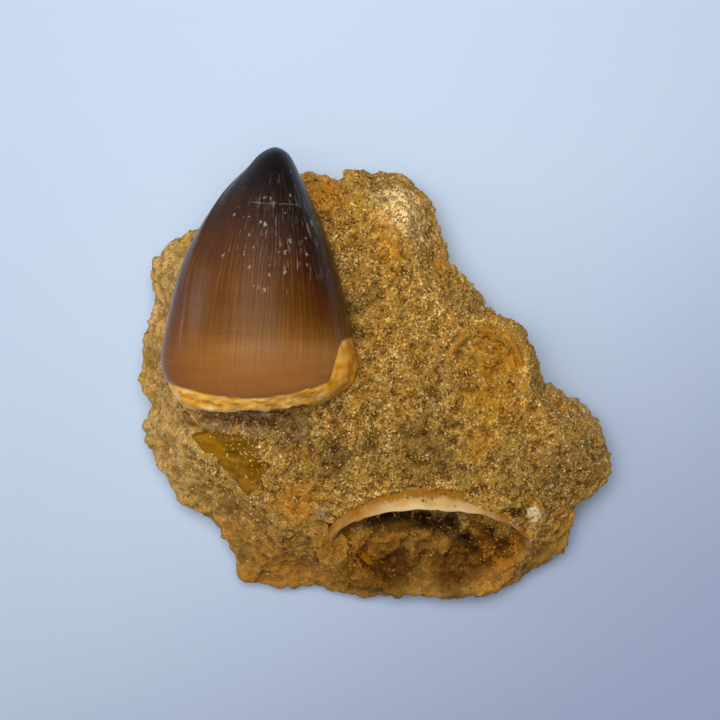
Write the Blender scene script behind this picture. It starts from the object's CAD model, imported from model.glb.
import math
from functools import partial

import bpy
import numpy as np
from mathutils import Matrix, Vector, noise
from mathutils.bvhtree import BVHTree


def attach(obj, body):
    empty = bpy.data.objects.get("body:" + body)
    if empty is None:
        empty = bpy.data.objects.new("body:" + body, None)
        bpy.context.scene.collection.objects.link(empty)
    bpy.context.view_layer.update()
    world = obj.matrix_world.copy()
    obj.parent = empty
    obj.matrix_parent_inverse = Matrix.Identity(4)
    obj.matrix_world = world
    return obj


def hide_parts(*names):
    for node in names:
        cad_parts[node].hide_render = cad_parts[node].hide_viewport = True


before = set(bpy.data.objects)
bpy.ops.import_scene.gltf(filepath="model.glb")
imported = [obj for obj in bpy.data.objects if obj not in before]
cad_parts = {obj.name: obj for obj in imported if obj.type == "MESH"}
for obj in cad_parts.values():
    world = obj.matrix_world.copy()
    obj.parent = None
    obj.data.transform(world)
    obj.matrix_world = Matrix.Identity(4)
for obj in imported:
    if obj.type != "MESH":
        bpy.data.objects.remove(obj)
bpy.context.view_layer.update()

# The block: phosphate sand from a sea floor, whose grains lime has lightly cemented. It was broken from its bed by
# hand, so its sides are crumbly breaks, and its underside is worn flat. Drifts of the same sand lap over the bones.


def select_only(*pieces):
    """Selects these pieces and nothing else, and makes the first of them the active one."""
    bpy.ops.object.select_all(action="DESELECT")
    for piece in pieces:
        piece.select_set(True)
    bpy.context.view_layer.objects.active = pieces[0]


def copy_of_solid(solid_name, name):
    """A piece of its own with the solid's shape, its loose triangles merged and paired, and no material."""
    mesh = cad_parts[solid_name].data.copy()
    mesh.materials.clear()
    piece = bpy.data.objects.new(name, mesh)
    bpy.context.scene.collection.objects.link(piece)
    select_only(piece)
    bpy.ops.object.mode_set(mode="EDIT")
    bpy.ops.mesh.select_all(action="SELECT")
    bpy.ops.mesh.remove_doubles(threshold=0.000001)
    bpy.ops.mesh.tris_convert_to_quads()
    bpy.ops.object.mode_set(mode="OBJECT")
    return piece


def apply_modifier(piece, kind, **settings):
    """Adds a modifier to the piece and applies it at once."""
    modifier = piece.modifiers.new(kind.title(), kind)
    for setting, value in settings.items():
        setattr(modifier, setting, value)
    bpy.context.view_layer.objects.active = piece
    bpy.ops.object.modifier_apply(modifier=modifier.name)


def rough_texture(name, kind, size_mm, **settings):
    texture = bpy.data.textures.new(name, kind)
    texture.noise_scale = size_mm / 1000
    for setting, value in settings.items():
        setattr(texture, setting, value)
    return texture


def roughen(piece, texture, height_mm, middle=0.5, **settings):
    """Moves the surface in and out by the texture, over height_mm in all. Where the texture is middle, it stays."""
    apply_modifier(
        piece, "DISPLACE", texture=texture, texture_coords="LOCAL", strength=height_mm / 1000, mid_level=middle,
        **settings,
    )


def smooth(piece):
    select_only(piece)
    bpy.ops.object.shade_smooth()


def clamped(value):
    return min(max(value, 0), 1)


def surface_of(mesh):
    return BVHTree.FromPolygons([v.co for v in mesh.vertices], [p.vertices for p in mesh.polygons])


BLOCK_VOXEL = 0.00036
RIM_TURN = (math.radians(55), math.radians(-2), 0)  # of the large vertebra's rim
DRIFTS = [  # of sand: centre in mm, and half sizes
    ((16.4, -6.6, 19.8), (6.4, 3.0, 1.4)),  # over the lower end of the small vertebra
    ((10.6, -1.8, 20.7), (1.7, 6.6, 1.7)),  # along its left side
    ((15.6, 0.0, 19.6), (3.6, 5.0, 1.2)),  # inside it
    ((21.9, -1.8, 20.2), (1.4, 4.4, 1.3)),  # over its right side
    ((-3.6, -1.6, 20.4), (1.8, 4.0, 1.5)),  # against the tooth's lower right corner
    ((-26.0, -5.2, 15.6), (4.0, 1.6, 1.4)),  # under the left end of the tooth's collar
    ((-9.0, -22.6, 13.5), (2.0, 2.6, 1.3)),  # against the left end of the large vertebra
    ((-15.6, -10.4, 17.9), (2.2, 2.4, 0.9)),  # over the fragment's upper right edge
    ((-15.0, -15.2, 16.6), (2.2, 1.8, 1.0)),  # over its lower right end
    ((-24.6, -12.4, 16.1), (1.1, 2.6, 0.8)),  # over its left edge
    ((-27.3, -9.3, 14.9), (1.6, 1.9, 1.3)),  # over its upper left corner
    ((23.3, -20.4, 17.2), (2.1, 2.1, 1.1)),  # round the bone chip
    ((-22.6, -7.2, 17.9), (3.2, 1.2, 1.1)),  # over the fragment's top edge
    ((-17.8, -8.0, 18.1), (2.8, 1.2, 1.0)),
    ((15.4, -18.1, 20.1), (2.8, 1.1, 1.2)),  # over the large vertebra's band, from its middle to the right
    ((17.6, -18.9, 19.8), (2.8, 1.5, 1.4)),
    ((20.6, -20.4, 18.3), (1.9, 1.5, 1.4)),
    ((23.4, -22.8, 15.8), (1.5, 2.0, 2.0)),
]

block = copy_of_solid("matrix", "sand_block")
bpy.ops.object.select_all(action="DESELECT")
drifts = []
for centre, half_sizes in DRIFTS:
    bpy.ops.mesh.primitive_ico_sphere_add(subdivisions=4, radius=1, location=[c / 1000 for c in centre])
    bpy.context.object.scale = [s / 1000 for s in half_sizes]
    drifts.append(bpy.context.object)
# a low bank on both sides of the small vertebra's wall, which leaves its crest bare
bpy.ops.mesh.primitive_torus_add(
    location=(0.0159, -0.0002, 0.0190), rotation=(math.radians(5), math.radians(5), 0),
    major_segments=64, minor_segments=16, major_radius=0.0062, minor_radius=0.00135,
)
bpy.context.object.scale = (1, 1.32, 1)
drifts.append(bpy.context.object)
# a bank over the low front edge of the large vertebra
bpy.ops.mesh.primitive_torus_add(
    location=(0.0081, -0.0262, 0.0126), rotation=RIM_TURN,
    major_segments=64, minor_segments=16, major_radius=0.0148, minor_radius=0.0023,
)
bank = bpy.context.object
bank.scale = (1, 0.70, 1)
bpy.ops.object.mode_set(mode="EDIT")
bpy.ops.mesh.select_all(action="SELECT")
bpy.ops.mesh.bisect(plane_co=(-0.0079, -0.025, 0.0132), plane_no=(0.23, 0, 1), use_fill=True, clear_outer=True)
bpy.ops.object.mode_set(mode="OBJECT")
drifts.append(bank)
select_only(*drifts)
bpy.ops.object.transform_apply(location=True, rotation=True, scale=True)
select_only(block, *drifts)
bpy.ops.object.join()
apply_modifier(block, "REMESH", mode="VOXEL", voxel_size=BLOCK_VOXEL)
apply_modifier(block, "SMOOTH", factor=0.6, iterations=3)
above = block.vertex_groups.new(name="above the underside")
for vertex in block.data.vertices:
    above.add([vertex.index], clamped((vertex.co.z - 0.0004) / 0.002), "REPLACE")
for name, kind, size_mm, height_mm, middle, settings in (
    ("sand lumps", "CLOUDS", 3.8, 1.7, 0.5, {"noise_depth": 2}),
    ("sand crumbs", "CLOUDS", 1.4, 1.05, 0.5, {"noise_depth": 2}),
    ("sand grains", "VORONOI", 0.70, 0.34, 0.35, {"distance_metric": "DISTANCE"}),
):
    texture = rough_texture(name, kind, size_mm, **settings)
    roughen(block, texture, height_mm, middle, vertex_group="above the underside")

# The sand packs up to each fossil. The clods in the large vertebra's cup are coarser than the rest.
FOSSILS = ("mosasaur_tooth", "fish_vertebra", "small_vertebra", "bone_fragment", "bone_chip")
fossil_surfaces = [surface_of(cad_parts[name].data) for name in FOSSILS]
CUP_MIDDLE = Vector((0.0075, -0.0262, 0.009))
CUP_REACH = 0.0135
CHIP_PIT = Vector((0.0210, -0.0200, 0))
PIT_REACH = 0.0008
SNUG = 0.00075  # how near to a fossil the sand is drawn up to it


def distance_to_fossils(place, reach):
    """The nearest place on any fossil within reach, and how far it is."""
    found = [surface.find_nearest(place, reach) for surface in fossil_surfaces]
    found = [(hit[3], hit[0]) for hit in found if hit[0] is not None]
    return min(found, key=lambda pair: pair[0]) if found else (reach, None)


for vertex, facing in [(vertex, vertex.normal.copy()) for vertex in block.data.vertices]:
    place = vertex.co
    flat = Vector((place.x - CUP_MIDDLE.x, (place.y - CUP_MIDDLE.y) * 2.0, 0)).length
    steep = clamped((0.85 - facing.z) / 0.3) * clamped((place.z - 0.0006) / 0.002)
    if steep > 0 and place.z < 0.016 and flat > CUP_REACH:  # broken faces are fluted down the slope
        flute = noise.fractal(Vector((place.x * 620, place.y * 620, place.z * 130)), 1.0, 2.1, 2)
        place = place + facing * 0.00042 * flute * steep
    if flat < CUP_REACH and place.z > 0.004:
        furrow = noise.noise(Vector((place.x * 300 + place.y * 260, 0, 1)))
        clod = 1.3 * noise.fractal(place * 520, 0.8, 2.1, 4) + 0.5 * furrow
        place = place + Vector((0, -0.25, 0.9)) * 0.0010 * clod * min(1, (CUP_REACH - flat) / 0.003)
        under_rim = math.exp(-(((place.x - 0.0060) / 0.0065) ** 2) - ((place.y + 0.0220) / 0.0018) ** 2)
        place.z = max(place.z - 0.0030 * under_rim, 0.004)
    if place.z > 0.012:
        wander = 0.0010 * noise.noise(place * 700)
        across, along = (place.x - CHIP_PIT.x + wander) * 0.7, place.y - CHIP_PIT.y + wander
        pit = math.exp(-(across ** 2 + along ** 2) / PIT_REACH ** 2)
        place = place - Vector((0, 0, 0.0010 * pit))
    away, spot = distance_to_fossils(place, SNUG)
    if spot is not None and away > 0.00002 and facing.dot(spot - place) > 0.3 * away:
        place = place + (spot - place) * clamped((SNUG - away) / 0.0002)
    vertex.co = (place.x, place.y, max(place.z, 0.0))
sand_surface = surface_of(block.data)

# the worn underside is flat, and needs few faces
select_only(block)
bpy.ops.object.mode_set(mode="EDIT")
bpy.ops.mesh.select_all(action="DESELECT")
bpy.ops.object.mode_set(mode="OBJECT")
for face in block.data.polygons:
    face.select = all(block.data.vertices[k].co.z < 0.00012 for k in face.vertices)
bpy.ops.object.mode_set(mode="EDIT")
bpy.ops.mesh.dissolve_limited(angle_limit=math.radians(12))
bpy.ops.object.mode_set(mode="OBJECT")
smooth(block)

# How deep each place lies in a hollow or stands out on a crest, in mm, for the dust that settles in the hollows.
mesh = block.data
corners = np.empty(len(mesh.vertices) * 3)
mesh.vertices.foreach_get("co", corners)
corners = corners.reshape(-1, 3)
ends = np.empty(len(mesh.edges) * 2, dtype=int)
mesh.edges.foreach_get("vertices", ends)
ends = ends.reshape(-1, 2)
neighbours = np.bincount(ends.ravel(), minlength=len(corners))[:, None]
smoothed = corners.copy()
for step in range(14):
    total = np.zeros_like(smoothed)
    for axis in range(3):
        total[:, axis] = np.bincount(ends[:, 0], smoothed[ends[:, 1], axis], len(corners))
        total[:, axis] += np.bincount(ends[:, 1], smoothed[ends[:, 0], axis], len(corners))
    smoothed = total / np.maximum(neighbours, 1)
facing = np.empty(len(mesh.vertices) * 3)
mesh.vertices.foreach_get("normal", facing)
hollow = ((smoothed - corners) * facing.reshape(-1, 3)).sum(axis=1) * 1000
mesh.attributes.new("hollow", "FLOAT", "POINT").data.foreach_set("value", hollow)


def linear(hex_colour):
    """An sRGB hex colour as linear RGBA."""
    channels = [int(hex_colour[k:k + 2], 16) / 255 for k in (1, 3, 5)]
    return [c / 12.92 if c <= 0.04045 else ((c + 0.055) / 1.055) ** 2.4 for c in channels] + [1]


def fill(node, inputs):
    """Links or sets the node's inputs."""
    for socket, value in inputs.items():
        if isinstance(value, bpy.types.NodeSocket):
            node.id_data.links.new(value, node.inputs[socket])
        else:
            node.inputs[socket].default_value = value


def add_node(tree, kind, inputs=None, stops=None, **settings):
    """Adds a node with its settings and links, and returns the first of its outputs that is in use.

    stops are a colour ramp's places and hex colours. A Mix node mixes colours, unless data_type says otherwise.
    """
    made = tree.nodes.new("ShaderNode" + kind)
    if kind == "Mix":
        made.data_type = "RGBA"
    for setting, value in settings.items():
        setattr(made, setting, value)
    if stops:
        while len(made.color_ramp.elements) < len(stops):
            made.color_ramp.elements.new(1)
        for element, (place, colour) in zip(made.color_ramp.elements, stops):
            element.position = place
            element.color = linear(colour)
    fill(made, inputs or {})
    return next(output for output in made.outputs if output.enabled)


def new_material(name):
    """A material, the function that adds a node to it, its shader and the object's coordinates."""
    made = bpy.data.materials.new(name)
    made.use_nodes = True
    tree = made.node_tree
    shader = tree.nodes["Principled BSDF"]
    place = tree.nodes.new("ShaderNodeTexCoord").outputs["Object"]
    return made, partial(add_node, tree), shader, place


# Phosphate sand: rounded grains of apatite, bone and quartz about 0.3 mm across, from near black to cream, in an
# ochre lime cement. Iron stains it orange near the bones.
GRAIN_MM = 0.30
STAINS = [  # x and y in mm, reach in mm, strength, colour
    (-9.2, 28.0, 6.5, 0.8, "#a8690f"),
    (1.3, 21.2, 4.0, 0.6, "#c08a34"),
    (-0.4, 27.4, 2.4, 0.7, "#c9ad76"),
    (5.4, 25.4, 6.8, 1.0, "#fcdea6"),  # bleached crest of the ridge
    (2.2, 18.6, 2.6, 0.7, "#c08524"),
    (8.6, 17.5, 3.6, 0.7, "#bb7c14"),
    (3.5, 23.7, 1.7, 0.85, "#cdb88e"),
    (5.0, 24.7, 1.4, 0.7, "#cdb484"),
    (6.7, 26.0, 1.5, 0.7, "#cbb080"),
    (17.4, 3.4, 5.6, 0.8, "#a0721e"),  # in and round the small vertebra
    (17.0, -3.0, 5.0, 0.8, "#a2781e"),
    (15.4, -9.6, 3.2, 0.6, "#9c6e20"),
    (20.6, 2.4, 2.2, 0.8, "#b8781c"),
    (-3.4, -20.8, 3.6, 0.9, "#b8770f"),
    (-12.2, -18.4, 5.0, 0.7, "#ad6f18"),
    (-14.0, -29.0, 9.0, 0.6, "#9f6c28"),
    (-2.0, -31.0, 8.0, 0.85, "#74490f"),
    (21.2, -24.6, 3.4, 0.8, "#a0600a"),
    (29.0, -13.0, 8.0, 0.75, "#75603a"),
    (20.5, -13.5, 6.5, 0.5, "#7a6234"),
    (7.0, -10.5, 8.0, 0.75, "#6b5124"),
    (-24.0, -6.2, 4.0, 0.85, "#785c48"),  # the recess under the tooth
    (-19.0, -6.4, 4.6, 0.85, "#785e4c"),
    (-12.5, -7.6, 5.0, 0.8, "#6a543c"),
    (-7.0, -12.0, 5.0, 0.85, "#584420"),
    (-0.6, -9.6, 3.0, 0.6, "#5c4c28"),
    (-8.2, -20.4, 1.8, 0.7, "#857658"),
    (21.0, -20.1, 2.0, 0.8, "#3c2f19"),  # the pit beside the bone chip
    (-7.4, -25.6, 3.6, 0.8, "#8a5a1c"),
    (12.4, 5.4, 2.0, 0.8, "#67612c"),
    (1.5, -25.5, 7.0, 0.8, "#885c1c"),  # in the large vertebra's cup
    (9.0, -26.5, 7.5, 0.8, "#8a5e1e"),
    (17.0, -26.5, 7.0, 1.0, "#6c3e05"),
    (2.5, -29.6, 5.5, 1.0, "#5a370d"),
    (12.0, -29.8, 5.5, 1.0, "#5a370d"),
    (-3.0, 15.4, 2.4, 0.6, "#6a5030"),  # along the tooth's right side
    (-2.9, 11.0, 2.6, 0.7, "#5e482a"),
    (-2.7, 6.4, 2.6, 0.7, "#5e482a"),
    (-1.4, -21.5, 2.6, 0.8, "#2a190b"),  # damp, iron-black dust packed in under the cup's upper rim
    (0.8, -21.2, 3.0, 0.9, "#24160a"),
    (3.0, -21.1, 3.2, 0.9, "#22150a"),
    (5.2, -21.2, 3.2, 0.9, "#22150a"),
    (7.4, -21.5, 3.2, 0.9, "#22150a"),
    (9.6, -22.0, 3.0, 0.9, "#24160a"),
    (11.6, -22.9, 2.8, 0.9, "#24160a"),
    (13.2, -24.4, 2.4, 0.95, "#24150a"),
    (14.6, -26.0, 2.2, 0.85, "#2c1b0b"),
    (3.6, -26.4, 2.0, 0.5, "#3c260c"),
    (6.8, -27.0, 2.0, 0.5, "#3c260c"),
    (17.6, -23.4, 2.2, 0.85, "#33200c"),
    (19.4, -25.4, 2.0, 0.8, "#3a240e"),
]
SPOTS = []  # the same with the sand's own height, in metres
for spot_x, spot_y, reach, strength, hue in STAINS:
    hit = sand_surface.ray_cast(Vector((spot_x / 1000, spot_y / 1000, 0.06)), Vector((0, 0, -1)))[0]
    SPOTS.append((tuple(hit), reach / 1000, strength, hue))

material, add, shader, place = new_material("phosphate sand")
grain = add("TexVoronoi", {"Vector": place, "Scale": 1000 / GRAIN_MM}, feature="F1")
pick = add("SeparateColor", {"Color": grain.node.outputs["Color"]})
grains = add(
    "ValToRGB", {"Fac": pick},
    stops=[
        (0.0, "#5a431a"), (0.16, "#7d5e26"), (0.38, "#9c7733"), (0.64, "#b0873d"), (0.88, "#c09850"),
        (0.98, "#d9c08c"),
    ],
)
x, y, z = add("SeparateXYZ", {"Vector": place}).node.outputs
# worn by handling: the low sides, the left edge and the front left slope
low_down = add("MapRange", {"Value": z, "From Min": 0.015, "From Max": 0.006})
to_left = add("MapRange", {"Value": x, "From Min": -0.023, "From Max": -0.029, "To Max": 0.8})
worn = add("Math", {0: low_down, 1: to_left}, operation="MAXIMUM")
front_left = add("MapRange", {"Value": x, "From Min": 0.006, "From Max": -0.003, "To Max": 0.8})
front = add("MapRange", {"Value": y, "From Min": -0.017, "From Max": -0.023})
front_left = add("Math", {0: front_left, 1: front}, operation="MULTIPLY")
worn = add("Math", {0: worn, 1: front_left}, operation="MAXIMUM")
worn_share = add("Math", {0: worn, 1: 0.75}, operation="MULTIPLY")
# the broken sides are paler to the left and browner to the front, streaked down the slope
to_front = add("MapRange", {"Value": y, "From Min": -0.012, "From Max": -0.024})
sides = add("Mix", {"Factor": to_front, 6: linear("#ceaa6c"), 7: linear("#a4702e")})
down = add("Mapping", {"Vector": place, "Scale": (1, 1, 0.2)})
down = add("TexNoise", {"Vector": down, "Scale": 1000 / 1.3, "Detail": 4, "Roughness": 0.6})
down = add("MapRange", {"Value": down, "From Min": 0.35, "From Max": 0.65, "To Min": 0.78, "To Max": 1.15})
sides = add("Mix", {"Factor": 1.0, 6: sides, 7: down}, blend_type="MULTIPLY")
colour = add("Mix", {"Factor": worn_share, 6: grains, 7: sides})
# wide patches of greyer, oranger and more olive sand
wide = add("TexNoise", {"Vector": place, "Scale": 1000 / 9, "Detail": 5, "Roughness": 0.65})
grey_share = add("MapRange", {"Value": wide, "From Min": 0.46, "From Max": 0.64, "To Max": 0.55})
colour = add("Mix", {"Factor": grey_share, 6: colour, 7: linear("#6b572e")})
patchy = add("TexNoise", {"Vector": place, "Scale": 1000 / 4.0, "Detail": 6, "Roughness": 0.7})
orange_share = add("MapRange", {"Value": patchy, "From Min": 0.50, "From Max": 0.68, "To Max": 0.7})
colour = add("Mix", {"Factor": orange_share, 6: colour, 7: linear("#b87f20")})
olive = add("TexNoise", {"Vector": place, "Scale": 1000 / 5.5, "Detail": 5, "Roughness": 0.65, "Distortion": 0.6})
olive = add("MapRange", {"Value": olive, "From Min": 0.50, "From Max": 0.66, "To Max": 0.45})
colour = add("Mix", {"Factor": olive, 6: colour, 7: linear("#a08a38")})
# the stains listed above, which fade out raggedly
stained = add("TexNoise", {"Vector": place, "Scale": 1000 / 1.4, "Detail": 4, "Roughness": 0.7})
for spot, reach, strength, hue in SPOTS:
    away = add("VectorMath", {0: place, 1: spot}, operation="DISTANCE")
    near = add(
        "MapRange", {"Value": away, "From Min": reach, "From Max": reach / 4, "To Max": strength * 1.9},
        interpolation_type="SMOOTHSTEP",
    )
    share = add("Math", {0: near, 1: stained}, operation="MULTIPLY", use_clamp=True)
    colour = add("Mix", {"Factor": share, 6: colour, 7: linear(hue)})
grit = add("MapRange", {"Value": pick.node.outputs["Green"], "To Min": 0.70, "To Max": 1.25})
deep = add("Attribute", attribute_name="hollow")
deep = add("MapRange", {"Value": deep.node.outputs["Fac"], "From Min": -0.11, "From Max": 0.15})
# crests are rubbed bright, and the dust in the hollows is a darker, redder brown
deep = add("Mix", {"Factor": deep, 6: (1.32, 1.30, 1.22, 1), 7: (0.52, 0.40, 0.26, 1)})
grit = add("Mix", {"Factor": 1.0, 6: deep, 7: grit}, blend_type="MULTIPLY")
grit_share = add("MapRange", {"Value": worn, "To Min": 1.0, "To Max": 0.45})
colour = add("Mix", {"Factor": grit_share, 6: colour, 7: grit}, blend_type="MULTIPLY")
# each grain is a low dome, and its surface is rough
fine = add("TexNoise", {"Vector": place, "Scale": 1000 / 0.22, "Detail": 2})
height = add("Math", {0: grain, 1: -0.8, 2: 0.6}, operation="MULTIPLY_ADD")
height = add("Math", {0: fine, 1: 0.35, 2: height}, operation="MULTIPLY_ADD")
bump = add("Bump", {"Height": height, "Strength": 0.9, "Distance": 0.00022})
fill(shader, {"Base Color": colour, "Roughness": 0.85, "Specular IOR Level": 0.3, "Normal": bump})
block.data.materials.append(material)
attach(block, "root")
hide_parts("matrix")

# The tooth: a stout, slightly flattened cone of glossy enamel over dentine, with a cutting edge down each side.
# The enamel grew in fine upright ridges, which age has stained from black at the tip to warm brown, and it ends
# at the base in a lip above the amber dentine.
ENAMEL_END = (-0.0189, -0.0028, 16.5)  # the lip's lowest point, x and y, and how fast it rises to both sides, in 1/m
LIP_CLIMB = (-0.0073, -0.0050, 0.0052)  # where the lip turns up at the right corner, and by how much
CUTTING_EDGES = ((151, 0.6), (-17, 0.8))  # directions of the two in degrees up from +X, and how far each stands out
CRACK = (0.0255, -0.0188, -0.0109)  # its y, and where it starts and ends in x
PULP = (-0.0178, 0.0222, 0.0085, 0.0042)  # the cavity in the broken base: middle x and z, and half sizes


def enamel_end(x):
    rise = clamped((x - LIP_CLIMB[0]) / (LIP_CLIMB[1] - LIP_CLIMB[0]))
    return ENAMEL_END[1] + ENAMEL_END[2] * (x - ENAMEL_END[0]) ** 2 + LIP_CLIMB[2] * rise * rise * (3 - 2 * rise)


tooth = copy_of_solid("mosasaur_tooth", "tooth_crown")
apply_modifier(tooth, "SUBSURF", levels=3, render_levels=3)
for vertex, normal in [(vertex, vertex.normal.copy()) for vertex in tooth.data.vertices]:
    place = vertex.co
    crown = clamped((place.y + 0.002) / 0.008) * clamped((0.0342 - place.y) / 0.007)
    direction = math.degrees(math.atan2(place.z - 0.0239, place.x + 0.0173))
    push = 0.0
    for edge, height in CUTTING_EDGES:
        off = (direction - edge + 180) % 360 - 180
        push += 0.30 * height * math.exp(-((off / 3.4) ** 2)) * crown
    # fine ridges, which run together towards the tip
    push += 0.016 * noise.noise(Vector((direction * 0.42, place.y * 50, 3))) * (0.4 + 0.6 * crown)
    push += 0.05 * noise.noise(Vector((place.x * 200, place.y * 330, place.z * 200))) * (0.4 + 0.6 * crown)
    past = enamel_end(place.x) + 0.0003 * noise.noise(place * 900) - place.y
    sunk = clamped(past / 0.0004 + 0.5)
    push -= sunk * (0.10 - 0.22 * noise.fractal(place * 520, 1.0, 2.0, 3) - 0.20 * noise.noise(place * 260))
    # the base is broken across, and the sand in its pulp cavity lies a little deeper
    from_pulp = math.hypot((place.x - PULP[0]) / PULP[2], (place.z - PULP[1]) / PULP[3])
    from_pulp += 0.25 * noise.noise(place * 350)
    broken = clamped((-normal.y - 0.55) / 0.3) * sunk
    push -= broken * (clamped((1.15 - from_pulp) / 0.3) * (0.8 - 0.5 * noise.fractal(place * 700, 1.0, 2.0, 3)))
    push += broken * 0.35 * noise.fractal(place * 380, 1.0, 2.0, 3)
    vertex.co = place + normal * push / 1000
smooth(tooth)

# Fossil enamel over dentine: enamel is a hard, dense apatite with a bright glassy gloss, dentine is duller and
# takes up iron, which makes it amber.
material, add, shader, place = new_material("fossil enamel over dentine")
x, y, z = add("SeparateXYZ", {"Vector": place}).node.outputs
along = add("MapRange", {"Value": y, "From Min": -0.0068, "From Max": 0.0342})
# from the base to the tip, a little blurred across, and darker sooner on the upper right
squeezed = add("Mapping", {"Vector": place, "Scale": (0.12, 1, 0.12)})
bands = add("TexNoise", {"Vector": squeezed, "Scale": 1000 / 2.2, "Detail": 4, "Roughness": 0.6})
side = add("MapRange", {"Value": x, "From Min": -0.020, "From Max": -0.005, "To Max": 0.20})
upper = add("MapRange", {"Value": y, "From Min": 0.006, "From Max": 0.015})
side = add("Math", {0: side, 1: upper}, operation="MULTIPLY")
along = add("Math", {0: bands, 1: 0.12, 2: along}, operation="MULTIPLY_ADD")
along = add("Math", {0: along, 1: 0.06}, operation="SUBTRACT")
along = add("Math", {0: along, 1: side}, operation="ADD")
enamel = add(
    "ValToRGB", {"Fac": along},
    stops=[
        (0.0, "#8f5a26"), (0.17, "#955f2d"), (0.27, "#8e5f30"), (0.32, "#784c1d"), (0.42, "#643d12"),
        (0.54, "#5e3712"), (0.66, "#4e2e1b"), (0.76, "#3a251c"), (0.86, "#281c18"), (0.96, "#161111"),
    ],
)
# the ridges run together at the tip, so their pattern turns round the tooth's axis
axis_x = add("Math", {0: y, 1: -0.079, 2: 0.0178}, operation="MULTIPLY_ADD")
axis_x = add("Math", {0: x, 1: axis_x}, operation="ADD")
axis_z = add("Math", {0: y, 1: -0.07, 2: -0.0231}, operation="MULTIPLY_ADD")
axis_z = add("Math", {0: z, 1: axis_z}, operation="ADD")
round_axis = add("Math", {0: axis_z, 1: axis_x}, operation="ARCTAN2")
fan = add("CombineXYZ", {"X": round_axis, "Y": add("Math", {0: y, 1: 1.6}, operation="MULTIPLY")})
# one radian round the crown is 13 mm, and a ridge is about 0.5 mm wide
streaks = add("TexNoise", {"Vector": fan, "Scale": 9, "Detail": 3, "Roughness": 0.6})
ridge = add("Math", {0: round_axis, 1: 150.0}, operation="MULTIPLY")
ridge = add("Math", {0: streaks, 1: 34.0, 2: ridge}, operation="MULTIPLY_ADD")
ridge = add("Math", {0: ridge}, operation="SINE")
fine_streaks = add("TexNoise", {"Vector": fan, "Scale": 60, "Detail": 3, "Roughness": 0.7})
streak = add("Math", {0: ridge, 1: 0.06, 2: fine_streaks}, operation="MULTIPLY_ADD")
# the ridges fade where the enamel is rubbed smooth, at the base and on the left
showing = add("MapRange", {"Value": y, "From Min": 0.000, "From Max": 0.013, "To Min": 0.10})
across = add("MapRange", {"Value": x, "From Min": -0.029, "From Max": -0.017, "To Min": 0.45})
showing = add("Math", {0: showing, 1: across}, operation="MULTIPLY")
streak_tone = add("MapRange", {"Value": streak, "From Min": 0.44, "From Max": 0.72, "To Min": 0.80, "To Max": 1.9})
# faint growth lines round the crown
growth = add("Mapping", {"Vector": place, "Scale": (0.10, 1, 0.10)})
growth = add("TexNoise", {"Vector": growth, "Scale": 1000 / 0.8, "Detail": 3, "Roughness": 0.65})
growth = add("MapRange", {"Value": growth, "From Min": 0.3, "From Max": 0.7, "To Min": 0.90, "To Max": 1.10})
colour = add("Mix", {"Factor": showing, 6: enamel, 7: streak_tone}, blend_type="MULTIPLY")
colour = add("Mix", {"Factor": 1.0, 6: colour, 7: growth}, blend_type="MULTIPLY")
# the flanks are darker than the middle: greyer on the left and redder on the right
left_edge = add("MapRange", {"Value": x, "From Min": -0.026, "From Max": -0.031})
left_side = add("MapRange", {"Value": x, "From Min": -0.019, "From Max": -0.025})
right_side = add("MapRange", {"Value": x, "From Min": -0.014, "From Max": -0.0085})
right_side = add("Math", {0: right_side, 1: upper}, operation="MULTIPLY")
right_edge = add("MapRange", {"Value": round_axis, "From Min": 1.0, "From Max": 0.55})
above_base = add("MapRange", {"Value": y, "From Min": 0.005, "From Max": 0.012})
right_edge = add("Math", {0: right_edge, 1: above_base}, operation="MULTIPLY")
for flank, tint in (
    (left_edge, (0.76, 0.64, 0.72, 1)), (left_side, (0.95, 0.88, 0.62, 1)),
    (right_side, (0.68, 0.44, 0.20, 1)), (right_edge, (0.74, 0.62, 0.42, 1)),
):
    colour = add("Mix", {"Factor": flank, 6: colour, 7: tint}, blend_type="MULTIPLY")
# pale scratches and chipped flecks where the upper crown is worn, thickest right of the middle
away = add("VectorMath", {0: place, 1: (-0.0130, 0.0210, 0.029)}, operation="DISTANCE")
worn = add("MapRange", {"Value": away, "From Min": 0.0165, "From Max": 0.005, "To Max": 1.0})
nick = add("VectorMath", {0: place, 1: (-0.0166, 0.0134, 0.0330)}, operation="DISTANCE")
nick = add("MapRange", {"Value": nick, "From Min": 0.0022, "From Max": 0.0008, "To Max": 1.0})
worn = add("Math", {0: worn, 1: nick}, operation="MAXIMUM")
long_flecks = add("Mapping", {"Vector": fan, "Scale": (1, 7, 1)})
fleck = add("TexNoise", {"Vector": long_flecks, "Scale": 26, "Detail": 4, "Roughness": 0.7})
limit = add("Math", {0: worn, 1: -0.175, 2: 0.735}, operation="MULTIPLY_ADD")
pale = add("Math", {0: fleck, 1: limit}, operation="SUBTRACT")
pale = add("MapRange", {"Value": pale, "From Max": 0.10, "To Max": 0.55})
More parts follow.
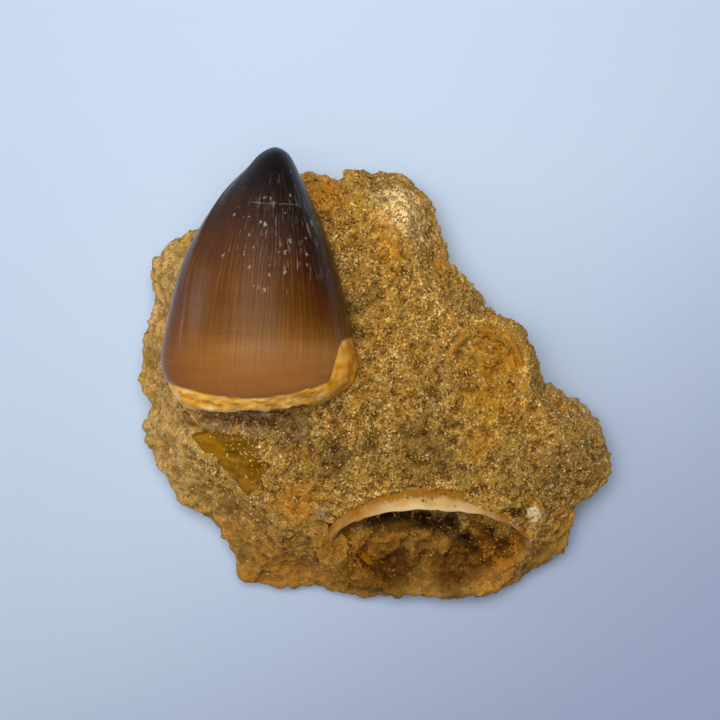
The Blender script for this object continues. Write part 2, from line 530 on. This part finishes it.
# pale pits of about half a millimetre, with ragged outlines
ragged = add("TexNoise", {"Vector": place, "Scale": 1000 / 0.5, "Detail": 3})
ragged = add("VectorMath", {0: ragged.node.outputs["Color"], 1: (0.0010, 0.0014, 0.0010)}, operation="MULTIPLY")
ragged = add("VectorMath", {0: place, 1: ragged}, operation="ADD")
ragged = add("Mapping", {"Vector": ragged, "Scale": (1, 0.6, 1)})
pits = add("TexVoronoi", {"Vector": ragged, "Scale": 1000 / 0.75}, feature="F1")
pit_pick = add("SeparateColor", {"Color": pits.node.outputs["Color"]})
pit_size = add("Math", {0: worn, 1: 1.0, 2: 0.14}, operation="MULTIPLY_ADD")
pit_reach = add("MapRange", {"Value": pit_pick, "From Min": 0.45, "From Max": 1.0, "To Max": 0.34})
pit_reach = add("Math", {0: pit_reach, 1: pit_size}, operation="MULTIPLY")
pit = add("Math", {0: pit_reach, 1: pits}, operation="SUBTRACT")
pit = add("MapRange", {"Value": pit, "From Max": 0.14, "To Max": 0.75})
pale = add("Math", {0: pale, 1: pit}, operation="MAXIMUM")
# one hairline crack across the upper crown
wander = add("TexNoise", {"Vector": place, "Scale": 1000 / 2.2, "Detail": 3})
line = add("Math", {0: wander, 1: 0.0012, 2: y}, operation="MULTIPLY_ADD")
line = add("Math", {0: line, 1: CRACK[0] + 0.0006}, operation="SUBTRACT")
line = add("Math", {0: line}, operation="ABSOLUTE")
line = add("MapRange", {"Value": line, "From Min": 0.00010, "From Max": 0.00002, "To Max": 0.9})
broken = add("MapRange", {"Value": fleck, "From Min": 0.42, "From Max": 0.60, "To Max": 0.8})
line = add("Math", {0: line, 1: broken}, operation="MULTIPLY")
middle = add("Math", {0: x, 1: -(CRACK[1] + CRACK[2]) / 2}, operation="ADD")
middle = add("Math", {0: middle}, operation="ABSOLUTE")
half_length = (CRACK[2] - CRACK[1]) / 2
middle = add("MapRange", {"Value": middle, "From Min": half_length, "From Max": half_length - 0.001})
line = add("Math", {0: line, 1: middle}, operation="MULTIPLY")
pale = add("Math", {0: pale, 1: line}, operation="MAXIMUM")
colour = add("Mix", {"Factor": pale, 6: colour, 7: linear("#a8917c")})
# the amber collar of dentine past the enamel's lip
from_middle = add("Math", {0: x, 1: ENAMEL_END[0]}, operation="SUBTRACT")
bend = add("Math", {0: from_middle, 1: 2}, operation="POWER")
ends = add("Math", {0: bend, 1: ENAMEL_END[2], 2: ENAMEL_END[1]}, operation="MULTIPLY_ADD")
climb = add(
    "MapRange", {"Value": x, "From Min": LIP_CLIMB[0], "From Max": LIP_CLIMB[1], "To Max": LIP_CLIMB[2]},
    interpolation_type="SMOOTHSTEP",
)
ends = add("Math", {0: ends, 1: climb}, operation="ADD")
wobble = add("TexNoise", {"Vector": place, "Scale": 1000 / 1.2, "Detail": 4, "Roughness": 0.65})
past = add("Math", {0: wobble, 1: 0.0006, 2: ends}, operation="MULTIPLY_ADD")
past = add("Math", {0: past, 1: y}, operation="SUBTRACT")
collar = add("MapRange", {"Value": past, "From Min": 0.0002, "From Max": 0.0005})
lumps = add("Mapping", {"Vector": place, "Scale": (0.45, 1, 1)})
lumps = add("TexNoise", {"Vector": lumps, "Scale": 1000 / 1.4, "Detail": 3, "Roughness": 0.55})
amber = add(
    "ValToRGB", {"Fac": lumps},
    stops=[(0.32, "#cc8414"), (0.42, "#f2a92e"), (0.52, "#ffc250"), (0.62, "#ffd280"), (0.74, "#ffe6bc")],
)
corner = add("MapRange", {"Value": x, "From Min": -0.0095, "From Max": -0.0060, "To Max": 0.6})
amber = add("Mix", {"Factor": corner, 6: amber, 7: linear("#cc8200")})
# the sand in the broken base
in_pulp = add("VectorMath", {0: place, 1: (PULP[0], 0, PULP[1])}, operation="SUBTRACT")
in_pulp = add("VectorMath", {0: in_pulp, 1: (1 / PULP[2], 0, 1 / PULP[3])}, operation="MULTIPLY")
in_pulp = add("VectorMath", {0: in_pulp}, operation="LENGTH")
in_pulp = add("Math", {0: wobble, 1: 0.7, 2: in_pulp}, operation="MULTIPLY_ADD")
in_pulp = add("MapRange", {"Value": in_pulp, "From Min": 1.50, "From Max": 1.32})
infill = add("TexVoronoi", {"Vector": place, "Scale": 1000 / 0.35}, feature="F1")
infill = add("SeparateColor", {"Color": infill.node.outputs["Color"]})
infill = add(
    "ValToRGB", {"Fac": infill}, stops=[(0.0, "#5a431a"), (0.4, "#92702e"), (0.8, "#ae8840"), (1.0, "#cdb27a")],
)
amber = add("Mix", {"Factor": in_pulp, 6: amber, 7: infill})
# one pit in the collar's lower edge
in_pit = add("VectorMath", {0: place, 1: (-0.0108, -0.0042, 0)}, operation="SUBTRACT")
in_pit = add("VectorMath", {0: in_pit, 1: (0.6, 1, 0)}, operation="MULTIPLY")
in_pit = add("VectorMath", {0: in_pit}, operation="LENGTH")
in_pit = add("MapRange", {"Value": in_pit, "From Min": 0.0006, "From Max": 0.0003, "To Max": 0.85})
amber = add("Mix", {"Factor": in_pit, 6: amber, 7: linear("#4a2410")})
shade = add("MapRange", {"Value": past, "From Min": 0.0002, "From Max": 0.0008, "To Min": 0.85})
amber = add("Mix", {"Factor": 1.0, 6: amber, 7: shade}, blend_type="MULTIPLY")
colour = add("Mix", {"Factor": collar, 6: colour, 7: amber})
# the dentine, and the places where the enamel is scratched, are duller
dull = add("MapRange", {"Value": streaks, "To Min": 0.20, "To Max": 0.38})
dull = add("Mix", {"Factor": collar, 2: dull, 3: 0.5}, data_type="FLOAT")
dull = add("Mix", {"Factor": pale, 2: dull, 3: 0.6}, data_type="FLOAT")
height = add("Math", {0: streak, 1: showing}, operation="MULTIPLY")
height = add("Math", {0: pale, 1: -0.7, 2: height}, operation="MULTIPLY_ADD")
bump = add("Bump", {"Height": height, "Strength": 0.4, "Distance": 0.00006})
fill(shader, {"Base Color": colour, "Roughness": dull, "IOR": 1.55, "Specular IOR Level": 0.34, "Normal": bump})
tooth.data.materials.append(material)
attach(tooth, "root")
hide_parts("mosasaur_tooth")

# The large vertebra: the dished centrum of a bony fish, tipped so that its cup looks out of the block's front. Bone
# is matt and porous, cream where it is rubbed and orange where iron has stained it. The sand under it holds it.
vertebra = copy_of_solid("fish_vertebra", "large_vertebra")
apply_modifier(vertebra, "SUBSURF", levels=2, render_levels=2)
worn_bone = rough_texture("worn bone", "CLOUDS", 2.2, noise_depth=3)
roughen(vertebra, worn_bone, 0.8)
smooth(vertebra)

# Fossil bone: porous apatite, cream where it is rubbed, which iron stains orange from its outer edge and inside.
material, add, shader, place = new_material("cream fossil bone")
# from the rim's middle, in half widths and half heights of the rim
in_rim = add(
    "Mapping", {
        "Vector": place, "Location": (0.0081, -0.0257, 0.013), "Rotation": RIM_TURN,
        "Scale": (0.016, 0.0112, 0.016),
    }, vector_type="TEXTURE",
)
from_axis = add("VectorMath", {0: in_rim, 1: (1, 1, 0)}, operation="MULTIPLY")
from_axis = add("VectorMath", {0: from_axis}, operation="LENGTH")
cloudy = add("TexNoise", {"Vector": place, "Scale": 1000 / 2.4, "Detail": 6, "Roughness": 0.65})
from_axis = add("Math", {0: cloudy, 1: 0.07, 2: from_axis}, operation="MULTIPLY_ADD")
across = add("MapRange", {"Value": from_axis, "From Min": 0.885, "From Max": 1.055})
bone = add(
    "ValToRGB", {"Fac": across},
    stops=[
        (0.0, "#6b3f08"), (0.22, "#8a5510"), (0.34, "#c8a468"), (0.62, "#dec294"), (0.85, "#cfa868"),
        (1.0, "#b98538"),
    ],
)
tone = add("MapRange", {"Value": cloudy, "From Min": 0.3, "From Max": 0.7, "To Min": 0.8, "To Max": 1.12})
bone = add("Mix", {"Factor": 1.0, 6: bone, 7: tone}, blend_type="MULTIPLY")
# the outer wall, behind the rim, is stained orange all over
behind = add("SeparateXYZ", {"Vector": in_rim}).node.outputs["Z"]
behind = add("Math", {0: cloudy, 1: 0.22, 2: behind}, operation="MULTIPLY_ADD")
behind = add("MapRange", {"Value": behind, "From Min": 0.02, "From Max": -0.04})
outside = add("MapRange", {"Value": across, "From Min": 0.35, "From Max": 0.5})
outside = add("Math", {0: outside, 1: behind}, operation="MULTIPLY")
bone = add("Mix", {"Factor": outside, 6: bone, 7: linear("#ab7420")})
x, y, z = add("SeparateXYZ", {"Vector": place}).node.outputs
# iron stains at both ends of the band and low down
left = add("MapRange", {"Value": x, "From Min": 0.0034, "From Max": -0.003})
right = add("MapRange", {"Value": x, "From Min": 0.013, "From Max": 0.018})
lower = add("MapRange", {"Value": z, "From Min": 0.019, "From Max": 0.015})
stain = add("Math", {0: left, 1: lower}, operation="MAXIMUM")
stain = add("Math", {0: stain, 1: right}, operation="MAXIMUM")
stain = add("Math", {0: stain, 1: cloudy}, operation="MULTIPLY")
stain = add("Math", {0: stain, 1: 1.6}, operation="MULTIPLY", use_clamp=True)
colour = add("Mix", {"Factor": stain, 6: bone, 7: linear("#9c6006")})
# the open pores of the bone
pores = add("TexVoronoi", {"Vector": place, "Scale": 1000 / 1.3}, feature="F1")
pore = add("SeparateColor", {"Color": pores.node.outputs["Color"]})
pore = add("MapRange", {"Value": pore, "From Min": 0.80, "From Max": 1.0, "To Max": 0.22})
pore = add("Math", {0: pores, 1: pore}, operation="SUBTRACT")
pore = add("MapRange", {"Value": pore, "From Min": 0.0, "From Max": 0.10, "To Min": 0.4})
colour = add("Mix", {"Factor": 1.0, 6: colour, 7: pore}, blend_type="MULTIPLY")
height = add("Math", {0: pore, 1: 0.6, 2: cloudy}, operation="MULTIPLY_ADD")
bump = add("Bump", {"Height": height, "Strength": 0.5, "Distance": 0.0003})
fill(shader, {"Base Color": colour, "Roughness": 0.7, "Specular IOR Level": 0.2, "Normal": bump})
vertebra.data.materials.append(material)
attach(vertebra, "root")
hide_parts("fish_vertebra")

# The small vertebra: the oval ring of a smaller fish's centrum, of bone that iron has stained through. It lies face
# up, mostly full of sand, and the sand's cement holds its buried lower half.
ring = copy_of_solid("small_vertebra", "small_vertebra_ring")
apply_modifier(ring, "SUBSURF", levels=2, render_levels=2)
roughen(ring, worn_bone, 1.0, 0.6)
smooth(ring)

# Ochre fossil bone: porous apatite that iron has stained through, matt and mottled.
material, add, shader, place = new_material("ochre fossil bone")
cloudy = add("TexNoise", {"Vector": place, "Scale": 1000 / 1.8, "Detail": 5, "Roughness": 0.65})
bone = add(
    "ValToRGB", {"Fac": cloudy},
    stops=[(0.3, "#7d5212"), (0.45, "#a26a14"), (0.6, "#b37c24"), (0.75, "#c49a50")],
)
bump = add("Bump", {"Height": cloudy, "Strength": 0.6, "Distance": 0.0003})
fill(shader, {"Base Color": bone, "Roughness": 0.7, "Normal": bump})
ring.data.materials.append(material)
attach(ring, "root")
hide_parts("small_vertebra")

# The amber fragment: a splinter from the dense wall of a larger bone, with one crease, smooth and satin. Sand covers
# about half of it, and its cement holds the rest of its underside.
CREASE = (-0.0222, -0.0115, 0)  # a place on it
CREASE_ACROSS = (0.76, 0.65, 0)  # the direction across it, to the upper right
fragment = copy_of_solid("bone_fragment", "amber_fragment")
apply_modifier(fragment, "SUBSURF", levels=3, render_levels=3, subdivision_type="SIMPLE")
apply_modifier(fragment, "SMOOTH", factor=0.5, iterations=4)
roughen(fragment, worn_bone, 0.5)
smooth(fragment)

# Amber fossil bone: the dense outer layer of a bone, grown in long fibres, which gives it streaks and a satin gloss.
material, add, shader, place = new_material("amber fossil bone")
slanted = add("Mapping", {"Vector": place, "Rotation": (0, 0, math.radians(45)), "Scale": (0.25, 1, 1)})
cloudy = add("TexNoise", {"Vector": slanted, "Scale": 1000 / 1.1, "Detail": 5, "Roughness": 0.65})
bone = add(
    "ValToRGB", {"Fac": cloudy},
    stops=[(0.3, "#644202"), (0.45, "#865903"), (0.58, "#9c6c05"), (0.72, "#b2861a")],
)
crease = add("VectorMath", {0: place, 1: CREASE}, operation="SUBTRACT")
crease = add("VectorMath", {0: crease, 1: CREASE_ACROSS}, operation="DOT_PRODUCT")
crease = add("MapRange", {"Value": crease, "From Min": -0.0003, "From Max": 0.0005, "To Min": 1.0, "To Max": 0.60})
bone = add("Mix", {"Factor": 1.0, 6: bone, 7: crease}, blend_type="MULTIPLY")
bump = add("Bump", {"Height": cloudy, "Strength": 0.3, "Distance": 0.0003})
fill(shader, {"Base Color": bone, "Roughness": 0.42, "Specular IOR Level": 0.15, "Normal": bump})
fragment.data.materials.append(material)
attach(fragment, "root")
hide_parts("bone_fragment")

# The bone chip: a pale flake of porous bone, broken all round, beside a pit at the lower right. The sand's cement
# holds its underside.
chip = copy_of_solid("bone_chip", "pale_chip")
apply_modifier(chip, "REMESH", mode="VOXEL", voxel_size=0.00011)
apply_modifier(chip, "SMOOTH", factor=0.8, iterations=14)
roughen(chip, worn_bone, 1.4, 0.45)
roughen(chip, rough_texture("splintered bone", "CLOUDS", 0.7, noise_depth=2), 0.6)
smooth(chip)

# Pale fossil bone: a fresh break through porous apatite, so matt and nearly unstained.
material, add, shader, place = new_material("pale fossil bone")
cloudy = add("TexNoise", {"Vector": place, "Scale": 1000 / 0.8, "Detail": 4})
bone = add("ValToRGB", {"Fac": cloudy}, stops=[(0.35, "#8c6c3c"), (0.48, "#c2a878"), (0.62, "#e6d3aa")])
fill(shader, {"Base Color": bone, "Roughness": 0.6})
chip.data.materials.append(material)
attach(chip, "root")
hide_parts("bone_chip")

# Splinters of brown bone that just break the surface: one under the tooth's left corner, one at the lower left and
# one in the recess. Each is a sliver of a long bone, cemented in the sand with its long axis level.
splinters = []
for spot_x, spot_y, turn, half_sizes, stand in (
    (-27.9, -6.6, -42, (1.9, 0.7, 0.7), -0.4),
    (-22.5, -19.4, -18, (2.1, 1.0, 0.7), -0.1),
    (-9.0, -10.9, 84, (1.4, 0.5, 0.5), 0.0),
):
    hit = sand_surface.ray_cast(Vector((spot_x / 1000, spot_y / 1000, 0.06)), Vector((0, 0, -1)))
    bpy.ops.object.select_all(action="DESELECT")
    bpy.ops.mesh.primitive_ico_sphere_add(
        subdivisions=5, radius=0.001, location=hit[0] + hit[1] * stand / 1000, rotation=(0, 0, math.radians(turn)),
    )
    bpy.context.object.scale = half_sizes
    bpy.ops.object.transform_apply(location=True, rotation=True, scale=True)
    roughen(bpy.context.object, worn_bone, 0.9)
    splinters.append(bpy.context.object)
select_only(splinters[-1], *splinters[:-1])
bpy.ops.object.join()
splinters = bpy.context.object
splinters.name = "bone_splinters"
bpy.ops.object.shade_smooth()

# Brown fossil bone: dense and smooth, polished a little by handling.
material, add, shader, place = new_material("brown fossil bone")
cloudy = add("TexNoise", {"Vector": place, "Scale": 1000 / 0.9, "Detail": 5, "Roughness": 0.6})
bone = add("ValToRGB", {"Fac": cloudy}, stops=[(0.3, "#5f3a10"), (0.5, "#7d5218"), (0.7, "#9a6c24")])
bump = add("Bump", {"Height": cloudy, "Strength": 0.4, "Distance": 0.0002})
fill(shader, {"Base Color": bone, "Roughness": 0.45, "Normal": bump})
splinters.data.materials.append(material)
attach(splinters, "root")

# The loose grains: whole grains that stand out of the cement on the upper faces, 0.2 to 0.45 mm across, worn round in
# the sea. Each colour of grain is a piece of its own, because a grain is one mineral, with one colour all through:
# quartz is the glossiest, and a coat of lime makes a grain dull.
GRAIN_KINDS = [  # name, how many, colour, roughness, the mineral
    ("ochre_grains", 9000, "#b48a3e", 0.75, "lime-coated apatite"),
    ("brown_grains", 9000, "#8c692c", 0.7, "brown apatite"),
    ("rust_grains", 7400, "#b27a1c", 0.7, "iron-stained apatite"),
    ("cream_grains", 3000, "#cfb27a", 0.45, "quartz"),
    ("dark_grains", 3200, "#634a24", 0.6, "dark phosphate"),
]


def quads_of(piece, thickness_of_cover):
    """The corners, middle, normal and share of cover of each of a piece's quads that faces up."""
    mesh = piece.data
    faces = [face for face in mesh.polygons if len(face.vertices) == 4]
    faces = [face for face in faces if face.center.z > 0.0012 and face.normal.z > -0.35]
    shares = [thickness_of_cover(face) * face.area for face in faces]
    faces = [(face, share) for face, share in zip(faces, shares) if share > 0]
    return (
        np.array([[mesh.vertices[k].co for k in face.vertices] for face, share in faces]),
        np.array([face.center for face, share in faces]),
        np.array([face.normal for face, share in faces]),
        np.array([share for face, share in faces]),
    )


def cover_of_sand(face):
    if distance_to_fossils(face.center, 0.00015)[1] is not None:
        return 0
    x, y, z = face.center
    worn = max(min((0.015 - z) / 0.007, 1), min((-0.023 - x) / 0.006, 0.8), 0)
    front_left = clamped((0.006 - x) / 0.009) * clamped((-0.017 - y) / 0.006)
    if math.hypot(x - CHIP_PIT.x, y - CHIP_PIT.y) < 0.0012:
        return 0.25
    return 1 - 0.94 * max(worn, 0.8 * front_left)


def cover_of_fragment(face):
    x, y = face.center.x - CREASE[0], face.center.y - CREASE[1]
    past_crease = x * CREASE_ACROSS[0] + y * CREASE_ACROSS[1]
    if face.normal.z < 0.3:
        return 0
    if past_crease > 0.0024:
        return 1.0
    if past_crease > 0.0006:
        return 0.45
    return 0.5 if abs(past_crease) < 0.0003 else 0.03


def cover_of_base(face):
    from_pulp = math.hypot((face.center.x - PULP[0]) / PULP[2], (face.center.z - PULP[1]) / PULP[3])
    return 0.7 if face.normal.y < -0.6 and from_pulp < 0.95 else 0


covered = [
    quads_of(block, cover_of_sand),
    quads_of(fragment, cover_of_fragment),
    quads_of(ring, lambda face: 0.8 if face.normal.z > 0 and face.center.z > 0.0185 else 0),
    quads_of(vertebra, lambda face: 0.4 if face.center.z < 0.012 else 0.3 if face.normal.y > 0.6 else 0),
    quads_of(tooth, cover_of_base),
]
quads, middles, normals, crowding = (np.concatenate(part) for part in zip(*covered))
rust = np.zeros(len(quads))
gloom = np.zeros(len(quads))
bleached = np.zeros(len(quads))
for spot, reach, strength, hue in SPOTS:
    near = np.clip(1.4 - np.linalg.norm(middles - np.array(spot), axis=1) / reach, 0, 1) * strength
    red, green, blue = (int(hue[k:k + 2], 16) for k in (1, 3, 5))
    if red - blue > 90:
        rust = np.maximum(rust, near)
    elif red < 110:
        gloom = np.maximum(gloom, near)
    elif red > 190 and spot[1] > 0:
        bleached = np.maximum(bleached, near)
patches = np.array([noise.fractal(Vector(middle) * 230, 1.0, 2.0, 3) for middle in middles])
crumbs = np.array([noise.noise(Vector(middle) * 1100) for middle in middles])
fresh = np.clip((middles[:, 2] - 0.012) / 0.004, 0.15, 1) * np.clip((middles[:, 0] + 0.030) / 0.006, 0.15, 1)
lit = np.clip((middles[:, 1] + 0.026) / 0.006, 0.25, 1)  # few pale grains show in the shaded cup
unbleached = 1 - 0.9 * np.clip(bleached, 0, 1)
crowding = crowding * np.clip(1 + 1.2 * crumbs, 0.2, 3) * (1 - 0.45 * np.clip(gloom, 0, 1))
LIKELIHOOD = {
    "ochre_grains": np.clip(0.9 - 0.7 * rust - 0.6 * gloom + 0.4 * patches, 0.05, 2),
    "brown_grains": np.clip(0.8 + 0.5 * gloom - 0.7 * rust - 0.8 * bleached - 0.6 * patches, 0.05, 2),
    "rust_grains": np.clip(0.30 + 1.8 * rust - 0.3 * gloom + 0.9 * patches, 0.03, 3),
    "cream_grains": np.clip(0.8 - 0.5 * rust - 0.6 * gloom + 0.6 * crumbs, 0.05, 2) * lit + bleached,
    "dark_grains": (
        np.clip(0.6 + 1.4 * gloom - 0.3 * rust - 0.5 * patches - 0.6 * crumbs, 0.05, 3) * fresh * unbleached
    ),
}
bpy.ops.object.select_all(action="DESELECT")
bpy.ops.mesh.primitive_ico_sphere_add(subdivisions=1, radius=1)
pebble = bpy.context.object
pebble_corners = np.array([vertex.co for vertex in pebble.data.vertices])
pebble_faces = np.array([face.vertices for face in pebble.data.polygons])
bpy.data.objects.remove(pebble)
chance = np.random.default_rng(11)
for name, count, hue, roughness, mineral in GRAIN_KINDS:
    share = crowding * LIKELIHOOD[name]
    at = chance.choice(len(quads), count, p=share / share.sum())
    across, along = chance.random((2, count, 1))
    spots = (
        quads[at, 0] * (1 - across) * (1 - along) + quads[at, 1] * across * (1 - along)
        + quads[at, 2] * across * along + quads[at, 3] * (1 - across) * along
    )
    radius = 0.00010 + 0.00012 * chance.random((count, 1)) ** 1.6
    spots = spots + normals[at] * radius * 0.15
    turn = chance.normal(size=(count, 4))
    turn /= np.linalg.norm(turn, axis=1, keepdims=True)
    w, i, j, k = turn.T
    turn = np.array([
        [1 - 2 * (j * j + k * k), 2 * (i * j - k * w), 2 * (i * k + j * w)],
        [2 * (i * j + k * w), 1 - 2 * (i * i + k * k), 2 * (j * k - i * w)],
        [2 * (i * k - j * w), 2 * (j * k + i * w), 1 - 2 * (i * i + j * j)],
    ]).transpose(2, 0, 1)
    sizes = radius[:, None] * (0.75 + 0.5 * chance.random((count, 1, 3)))
    lumpy = pebble_corners * (0.88 + 0.24 * chance.random((count, 12, 1)))
    places = np.einsum("nij,nkj->nki", turn, lumpy * sizes) + spots[:, None]
    faces = pebble_faces[None] + 12 * np.arange(count)[:, None, None]
    grain_mesh = bpy.data.meshes.new(name)
    grain_mesh.from_pydata(places.reshape(-1, 3).tolist(), [], faces.reshape(-1, 3).tolist())
    piece = bpy.data.objects.new(name, grain_mesh)
    bpy.context.scene.collection.objects.link(piece)
    material, add, shader, place = new_material("grains of " + mineral)
    fill(shader, {"Base Color": linear(hue), "Roughness": roughness})
    grain_mesh.materials.append(material)
    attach(piece, "root")

# The surface it lies on: a plain sheet of pale matt paper, uncoated, so that it scatters light and has no gloss. Its
# tint is a little darker and bluer towards the front right.
bpy.ops.object.select_all(action="DESELECT")
bpy.ops.mesh.primitive_plane_add(size=3, location=(0, 0, -0.00005))
paper = bpy.context.object
paper.name = "paper"
material, add, shader, place = new_material("pale matt paper")
x, y, z = add("SeparateXYZ", {"Vector": place}).node.outputs
across = add("Math", {0: y, 1: -1.4, 2: x}, operation="MULTIPLY_ADD")
across = add("MapRange", {"Value": across, "From Min": -0.02, "From Max": 0.12}, interpolation_type="SMOOTHSTEP")
tint = add("Mix", {"Factor": across, 6: linear("#bacade"), 7: linear("#9fa9c6")})
fill(shader, {"Base Color": tint, "Roughness": 0.9, "Specular IOR Level": 0.1})
paper.data.materials.append(material)

# A spot lamp hangs overhead, a wide area lamp high up stands for the room's light, and a small lamp to the left gives
# glints. The first two have cross-polarised filters, so that they give no glare on the enamel.
for name, kind, place, away, watts, glare, settings in (
    (
        "overhead lamp", "SPOT", (-0.04, 0.12, 0.50), (-0.03, 0.06, 0.50), 16.5, False,
        {"shadow_soft_size": 0.19, "spot_size": math.radians(48), "spot_blend": 1},
    ),
    ("room lamp", "AREA", (-0.25, -0.10, 1.40), (-0.25, -0.10, 1.40), 5.6, False, {"size": 1.4}),
    ("small lamp", "AREA", (-0.34, 0.06, 0.17), (-0.34, 0.06, 0.17), 0.10, True, {"size": 0.10}),
):
    bpy.ops.object.light_add(type=kind, location=place)
    lamp = bpy.context.object
    lamp.name = name
    lamp.data.energy = watts
    lamp.visible_glossy = glare
    lamp.rotation_euler = Vector(away).to_track_quat("Z", "Y").to_euler()
    for setting, value in settings.items():
        setattr(lamp.data, setting, value)

# The room is dark straight above, where the camera is, and light to the left.
world = bpy.data.worlds.new("soft room")
world.use_nodes = True
add = partial(add_node, world.node_tree)
towards = world.node_tree.nodes.new("ShaderNodeTexCoord").outputs["Generated"]
x, y, z = add("SeparateXYZ", {"Vector": towards}).node.outputs
low = add("MapRange", {"Value": z, "From Min": 0.85, "From Max": 0.20, "To Min": 0.04, "To Max": 0.28})
left = add("MapRange", {"Value": x, "From Min": 0.9, "From Max": -0.9, "To Min": 0.12, "To Max": 1.20})
glow = add("Math", {0: low, 1: left}, operation="MULTIPLY")
fill(world.node_tree.nodes["Background"], {"Color": (0.88, 0.90, 1.0, 1), "Strength": glow})
bpy.context.scene.world = world
bpy.context.scene.view_settings.view_transform = "Standard"

# The camera looks straight down from 400 mm.
bpy.ops.object.camera_add(location=(-0.002496, 0.002717, 0.4), rotation=(0, 0, 0))
camera = bpy.context.object
camera.data.sensor_width = 36
camera.data.lens = 127.3
camera.data.clip_start = 0.02
bpy.context.scene.camera = camera
